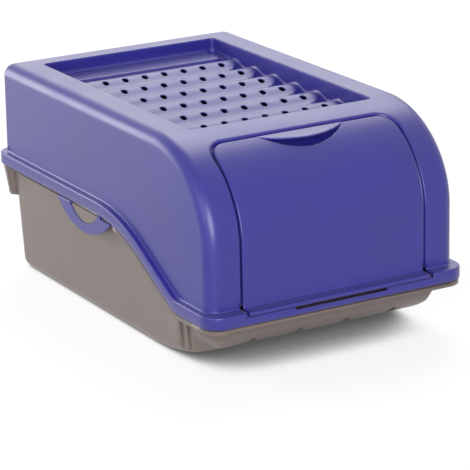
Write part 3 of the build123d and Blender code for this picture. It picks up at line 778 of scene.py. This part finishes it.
def pocket_drop(x, y):
    """How far the flap's skin sinks under the grip.

    The pocket's front edge is an arc a little in front of the grip's own. Behind it the skin
    sinks along a quarter ellipse, to a depth that fades to nothing at the grip's tips.
    """
    bow = np.clip(1 - (x / (GRIP_HALF - 1.0)) ** 2, 0, 1)
    edge = FLAP_REAR_Y - GRIP_SET_IN - GRIP_REACH * bow - POCKET_AHEAD * np.sqrt(bow)
    behind = np.clip((y - edge) / (1.5 + 9.0 * bow), 0, 1)
    depth = POCKET_DEEP * np.sqrt(bow) * np.sqrt(1 - (1 - behind) ** 2)
    close = np.clip((FLAP_REAR_Y - 1.5 - y) / 1.5, 0, 1)
    return np.where(bow > 0, depth * close, 0)


def flap_skin(sizes):
    """The flap's curved skin with its rolled edges, foot plate, barrel and finger pocket."""
    fillet, roll = sizes.foot_fillet / MM, sizes.side_roll / MM
    table = flap_profile(fillet)
    nose = table[:NOSE_ROWS]

    def inside_field(x, walked):
        y = on_profile(table, walked)[0]
        y = np.where(walked < 2, y - (walked < 0) * walked, y)
        return rounded_box(x, y, FLAP_HALF_X, FAR_FRONT_Y, FLAP_REAR_Y, FLAP_CORNER) + roll

    xs = mirrored(spaced([0, 40, 52, 84, FLAP_HALF_X - roll, FLAP_HALF_X],
                         [1.6, 0.8, 3.5, 1.6, 1.4]))
    wall_end, hollow_end, plate_end = table[FLAP_PROFILE_STOPS, 0]
    ws = spaced([0, walked_to(nose, -188), walked_to(nose, NOSE_FRONT_Y + 5), wall_end,
                 hollow_end, plate_end, table[-1, 0]], [0.8, 3, 8, 0.7, 2.5, 0.7])
    x, s, keep, cut = trimmed(xs, ws, inside_field, want_outside=False)
    y, z = on_profile(table, s)[:2]
    shell = Shell()
    shell.add_grid(np.stack([x, y, z - pocket_drop(x, y)], -1), keep)
    line, outward, normal = cut_line(table, inside_field, x[cut], s[cut], table[-1, 0])
    line[:, 2] -= pocket_drop(line[:, 0], line[:, 1])
    steps = quarter_round(roll) + [(roll, roll + 0.8)]
    shell.add_grid(swept_edge(line, outward, normal, steps))
    return shell


def grip_lip():
    """The crescent lip: a flat plate with rounded edges whose front follows a parabola.

    Its thickness runs out to nothing at both tips.
    """
    turn = np.linspace(-1, 1, 81)
    x = GRIP_HALF * np.sin(turn * math.pi / 2)
    bow = 1 - (x / GRIP_HALF) ** 2
    radius = GRIP_THICK / 2
    back_y = np.full_like(x, FLAP_REAR_Y - GRIP_SET_IN)
    round_y = FLAP_REAR_Y - GRIP_SET_IN - GRIP_REACH * bow + radius * bow
    thin = np.sqrt(np.clip(bow * TIP_SHARE, 0, 1))
    rows = [(back_y + (round_y - back_y) * share, 0 * x) for share in (0.0, 0.33, 0.66, 1.0)]
    for angle in np.linspace(0, math.pi, 12)[1:]:
        rows.append((round_y - radius * bow * math.sin(angle),
                     -radius * (1 - math.cos(angle)) * thin))
    rows += [(round_y + (back_y - round_y) * share, -GRIP_THICK * thin) for share in (0.5, 1.0)]
    grid = [np.column_stack([x, y, GRIP_Z - GRIP_SLOPE * (FLAP_REAR_Y - y) + drop])
            for y, drop in rows]
    shell = Shell()
    shell.add_grid(np.stack(grid + [grid[0]]))
    return shell


# ---------------- tub
def fuller_corner(x, y, z, below):
    """Sideways move of the tub's walls at the front corners, under the rim.

    The weight is the product of two smooth steps, one towards the front and one outward. The
    move is CORNER_OUT less CORNER_IN times a power of the drop below SWEEP_TOP_Z, so that the
    wall stands out under the rim and sweeps in towards the foot.
    """
    forward = np.clip((CORNER_REAR_Y - y) / CORNER_RUN_Y, 0, 1)
    sideways = np.clip((np.abs(x) - CORNER_INNER_X) / CORNER_RUN_X, 0, 1)
    weight = (forward * sideways) ** 2 * (3 - 2 * forward) * (3 - 2 * sideways)
    weight = weight * (z < CORNER_TOP_Z) * (below < -0.9)
    sweep = np.clip(SWEEP_TOP_Z - z, 0, SWEEP_MOST) / SWEEP_RUN
    move = CORNER_OUT - CORNER_IN * sweep ** SWEEP_POWER
    wall = (np.abs(x) < CORNER_END_X) & (y > CORNER_END_Y)
    return np.sign(x) * np.where(wall, weight * move, 0)


def shaped_tub(x, y, z):
    """The tub's points with fuller front corners, a deeper front rim and tapered lugs."""
    below = z - parting_z(y)
    x = x + fuller_corner(x, y, z, below)
    # the rim's underside, then its upper edge
    underside = (below > -3.4) & (below < -1.6) & ((np.abs(x) > RIM_INNER_X) | (y < RIM_FRONT_Y))
    z = z - RIM_DROP * (underside & (y < RIM_DROP_Y))
    edge = (below > -0.6) & (below < 0) & ((np.abs(x) > RIM_EDGE_X) | (y > RIM_EDGE_Y))
    z = z - RIM_LOW * (edge & (y > RIM_LOW_Y))
    # the lugs narrow towards their lower end, and their front faces lean back
    outer, rear = np.abs(x) > LUG_INNER_X, y > LUG_INNER_Y
    lug = (y > LUG_REAR_OF_Y) & (z < LUG_TOP_Z) & (z > LUG_FOOT_Z) & (outer | rear)
    taper = np.where(lug, np.clip((LUG_TOP_Z - z) / LUG_RUN, 0, 1), 0)
    x = x - np.sign(x) * LUG_TAPER * taper * outer
    y = y - LUG_TAPER * taper * rear
    face = (np.abs(y - LUG_FACE_Y) < 1.5) & (np.abs(x) > LUG_FACE_X)
    y = y + LUG_TAPER * (face & (z < LUG_FACE_TOP_Z) & (z > LUG_FOOT_Z))
    return x, y, z


def finer_corners(mesh):
    """Splits the tub's long edges near its front corners, so that they can take a curve."""
    fine = bmesh.new()
    fine.from_mesh(mesh)
    for longest in (32, 16, 8):
        picked = []
        for edge in fine.edges:
            middle = (edge.verts[0].co + edge.verts[1].co) / 2 / MM
            near = abs(middle.x) > FINE_INNER_X and middle.y < FINE_REAR_Y
            if near and middle.z < FINE_TOP_Z and edge.calc_length() > longest * MM:
                picked.append(edge)
        bmesh.ops.subdivide_edges(fine, edges=picked, cuts=1)
        bmesh.ops.triangulate(fine, faces=[f for f in fine.faces if len(f.verts) > 4])
    fine.to_mesh(mesh)
    fine.free()


def boss_cap(side):
    """A half-moon plate, nearly flush with the clip.

    Its upper edge is straight; the lower is the circle through its ends and its lowest point.
    """
    radius = (BOSS_HALF ** 2 + BOSS_DROP ** 2) / (2 * BOSS_DROP)
    y = BOSS_HALF * np.cos(np.linspace(0, math.pi, 49))
    z = radius - BOSS_DROP - np.sqrt(radius ** 2 - y ** 2)
    middle = -BOSS_DROP / 2
    rows = []
    for x, shrink in ((BOSS_INNER_X, 0.0), (BOSS_OUTER_X - 0.4, 0.0), (BOSS_OUTER_X, 0.02)):
        rows.append(np.column_stack([
            np.full_like(y, side * x), BOSS_Y + y * (1 - shrink),
            PARTING_REAR_Z - BOSS_TOP_DOWN + middle + (z - middle) * (1 - shrink * 2)]))
    shell = Shell()
    shell.add_grid(np.stack(rows), closed=True, flip=side < 0)
    shell.add_polygon(rows[-1], flip=side > 0)
    shell.add_polygon(rows[0], flip=side < 0)
    return shell


# ---------------- operators
PLASTICS = {  # name, roughness, drift of shade
    "hood": ("Moulded polypropylene, violet blue", 0.36, 0.05),
    "tub": ("Moulded polypropylene, taupe", 0.42, 0.04),
}


def settings():
    """The sizes and colours in use."""
    return bpy.context.scene.bin_sizes, bpy.context.scene.bin_colours


def plastic(moulding):
    """The material of the hood or the tub, made once and shared by its pieces."""
    name, roughness, tint = PLASTICS[moulding]
    code = getattr(settings()[1], moulding)
    return bpy.data.materials.get(name) or polypropylene(name, code, roughness, tint)


class BIN_OT_stage(bpy.types.Operator):
    """Pale floor, soft lights and the camera."""
    bl_idname = "potato_bin.stage"
    bl_label = "Stage"

    def execute(self, context):
        scene = context.scene
        scene.view_settings.view_transform = "Standard"
        self.floor()
        self.world(scene)
        for lamp in LAMPS:
            self.lamp(*lamp)
        self.camera(scene)
        return {"FINISHED"}

    def floor(self):
        """A level square of matt paint, brightened like a backdrop where the camera sees it, with
        a painted shadow close to the bin.
        """
        floor = bpy.data.meshes.new("Floor")
        corners = [(-1, -1), (1, -1), (1, 1), (-1, 1)]
        floor.from_pydata([(x * FLOOR_HALF, y * FLOOR_HALF, 0) for x, y in corners], [],
                          [(0, 1, 2, 3)])
        plane = new_object("Floor", floor)
        material = bpy.data.materials.new("Studio floor, matt paint")
        material.use_nodes = True
        tree = material.node_tree
        shader = tree.nodes["Principled BSDF"]
        shader.inputs["Base Color"].default_value = linear(settings()[1].floor)
        shader.inputs["Roughness"].default_value = 0.9
        shader.inputs["Specular IOR Level"].default_value = 0.1
        # seen by the camera, the floor is part backdrop and part paint that takes the real shadow;
        # close to the bin the backdrop's share darkens into a painted shadow, on the side away
        # from the high softbox
        open_sky = add_node(tree, "ShaderNodeAmbientOcclusion", settings={"samples": 16},
                            inputs={"Distance": SKY_REACH, "Normal": SKY_TOWARDS})
        painted_shadow = add_node(tree, "ShaderNodeMapRange",
                           settings={"interpolation_type": "SMOOTHSTEP"},
                           inputs={"From Min": SKY_CLOSED, "From Max": SKY_OPEN,
                                   "To Min": PAINTED_SHADOW_LEAST, "To Max": 1.0},
                           links={"Value": open_sky.outputs["AO"]})
        near = add_node(tree, "ShaderNodeEmission", links={"Strength": painted_shadow.outputs[0]})
        paint = add_node(tree, "ShaderNodeBsdfDiffuse",
                         inputs={"Color": (FLOOR_PAINT,) * 3 + (1.0,)})
        path = add_node(tree, "ShaderNodeLightPath")
        seen = add_node(tree, "ShaderNodeMixShader", inputs={0: BACKDROP_SHARE},
                        links={1: paint.outputs[0], 2: near.outputs[0]})
        # painted shade: the light that the floor gives back fades towards black close to the bin
        # in the same way
        black = add_node(tree, "ShaderNodeBsdfDiffuse", inputs={"Color": (0.0, 0.0, 0.0, 1.0)})
        given = add_node(tree, "ShaderNodeMixShader", links={
            0: painted_shadow.outputs[0], 1: black.outputs[0], 2: shader.outputs[0]})
        direct = add_node(tree, "ShaderNodeMixShader", links={
            0: path.outputs["Is Camera Ray"], 1: given.outputs[0], 2: seen.outputs[0]})
        # in reflections the floor is the backdrop with the same painted shadow
        mix = add_node(tree, "ShaderNodeMixShader", links={
            0: path.outputs["Is Glossy Ray"], 1: direct.outputs[0], 2: near.outputs[0]})
        tree.links.new(mix.outputs[0], tree.nodes["Material Output"].inputs["Surface"])
        floor.materials.append(material)

    def world(self, scene):
        """White all round: bright where it is seen or mirrored, soft where it only lights."""
        world = bpy.data.worlds.new("Studio")
        scene.world = world
        world.use_nodes = True
        tree = world.node_tree
        tree.nodes.clear()
        soft, bright = (
            add_node(tree, "ShaderNodeBackground",
                     inputs={"Color": (1.0, 1.0, 1.0, 1.0), "Strength": strength})
            for strength in (WORLD_LIGHT, 1.0))
        path = add_node(tree, "ShaderNodeLightPath").outputs
        direct = add_node(tree, "ShaderNodeMath", settings={"operation": "MAXIMUM"},
                          links={0: path["Is Camera Ray"], 1: path["Is Glossy Ray"]})
        direct = add_node(tree, "ShaderNodeMath", settings={"operation": "MAXIMUM"},
                          links={0: direct.outputs[0], 1: path["Is Transmission Ray"]})
        mix = add_node(tree, "ShaderNodeMixShader",
                       links={0: direct.outputs[0], 1: soft.outputs[0], 2: bright.outputs[0]})
        add_node(tree, "ShaderNodeOutputWorld", links={"Surface": mix.outputs[0]})

    def lamp(self, name, place, target, size, watts):
        """A square softbox that faces its target."""
        light = bpy.data.lights.new(name, "AREA")
        light.shape = "SQUARE"
        light.size = size
        light.energy = watts
        lamp = new_object(name, light)
        away = np.subtract(place, target)
        away /= np.linalg.norm(away)
        side = np.cross([0, 0, 1], away)
        side /= np.linalg.norm(side)
        lamp.matrix_world = facing(place, side, np.cross(away, side), away)
        lamp.visible_camera = False

    def camera(self, scene):
        """A long lens at 30 degrees from the front and 18 degrees up, turned slightly."""
        azimuth, height, roll = (
            math.radians(v) for v in (CAMERA_AZIMUTH, CAMERA_HEIGHT, CAMERA_ROLL))
        back = np.array([math.sin(azimuth) * math.cos(height),
                         -math.cos(azimuth) * math.cos(height), math.sin(height)])
        right = np.cross(-back, [0, 0, 1])
        right /= np.linalg.norm(right)
        up = np.cross(right, -back)
        side = math.cos(roll) * right + math.sin(roll) * up
        above = -math.sin(roll) * right + math.cos(roll) * up
        lens = bpy.data.cameras.new("Camera")
        lens.sensor_width = SENSOR_WIDTH
        lens.lens = FOCAL_PIXELS * SENSOR_WIDTH / FRAME_PIXELS
        lens.clip_start = 0.1
        lens.clip_end = 50
        camera = new_object("Camera", lens)
        camera.matrix_world = facing(CAMERA_PLACE, side, above, back)
        scene.camera = camera


class BIN_OT_tub(bpy.types.Operator):
    """The tub, as its frame gives it, with smooth rounds and its points moved by shaped_tub.

    A half-moon cap on each side sets the bosses behind the clips nearly flush with them.
    """
    bl_idname = "potato_bin.tub"
    bl_label = "Tub"

    def execute(self, context):
        shell = merged_copy("tub", "tub_shell", plastic("tub"))
        finer_corners(shell.data)
        points = np.empty(len(shell.data.vertices) * 3)
        shell.data.vertices.foreach_get("co", points)
        x, y, z = shaped_tub(*(points.reshape(-1, 3).T / MM))
        shell.data.vertices.foreach_set("co", (np.stack([x, y, z], 1) * MM).ravel())
        shell.data.update()
        shell.data.set_sharp_from_angle(angle=math.radians(42))
        shell.modifiers["Even shading"].weight = 50
        for name, side in (("tub_boss_left", -1), ("tub_boss_right", 1)):
            boss_cap(side).finish(name, plastic("tub"), "tub", "tub_plastic")
        return {"FINISHED"}


class BIN_OT_hood(bpy.types.Operator):
    """The hood's skin and the vented floor of its roof tray."""
    bl_idname = "potato_bin.hood"
    bl_label = "Hood"

    def execute(self, context):
        sizes = settings()[0]
        hood = hood_skin(sizes).finish("hood_shell", plastic("hood"), "hood", "hood_plastic",
                                       sizes.wall)
        tray_floor().finish("hood_tray_floor", plastic("hood"), "hood", "hood_plastic",
                            sizes.rib)
        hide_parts("hood")
        return {"FINISHED"}


class BIN_OT_flap(bpy.types.Operator):
    """The drop-down flap and its crescent grip."""
    bl_idname = "potato_bin.flap"
    bl_label = "Flap"

    def execute(self, context):
        sizes = settings()[0]
        flap = flap_skin(sizes).finish("flap_shell", plastic("hood"), "flap", "hood_plastic",
                                       sizes.wall)
        grip_lip().finish("flap_grip", plastic("hood"), "flap", "hood_plastic")
        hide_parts("front_flap")
        return {"FINISHED"}


class BIN_OT_clips(bpy.types.Operator):
    """Both half-moon side clips."""
    bl_idname = "potato_bin.clips"
    bl_label = "Clips"

    def execute(self, context):
        merged_copy("left_clip", "clip_left_shell", plastic("hood"))
        merged_copy("right_clip", "clip_right_shell", plastic("hood"))
        return {"FINISHED"}


OPERATORS = (BIN_OT_stage, BIN_OT_tub, BIN_OT_hood, BIN_OT_flap, BIN_OT_clips)


class BIN_PT_panel(bpy.types.Panel):
    """Lists the bin's sizes, colours and operators."""
    bl_label = "Potato bin"
    bl_idname = "BIN_PT_panel"
    bl_space_type = "VIEW_3D"
    bl_region_type = "UI"
    bl_category = "Potato bin"

    def draw(self, context):
        for group in settings():
            for key in group.__annotations__:
                self.layout.prop(group, key)
        for operator in OPERATORS:
            self.layout.operator(operator.bl_idname)


CLASSES = (BinSizes, BinColours) + OPERATORS + (BIN_PT_panel,)


def register():
    for item in CLASSES:
        bpy.utils.register_class(item)
    bpy.types.Scene.bin_sizes = bpy.props.PointerProperty(type=BinSizes)
    bpy.types.Scene.bin_colours = bpy.props.PointerProperty(type=BinColours)


def unregister():
    del bpy.types.Scene.bin_sizes
    del bpy.types.Scene.bin_colours
    for item in reversed(CLASSES):
        bpy.utils.unregister_class(item)


def main():
    register()
    bpy.ops.potato_bin.stage()
    bpy.ops.potato_bin.tub()
    bpy.ops.potato_bin.hood()
    bpy.ops.potato_bin.flap()
    bpy.ops.potato_bin.clips()
    bpy.context.view_layer.update()


if __name__ == "__main__":
    main()
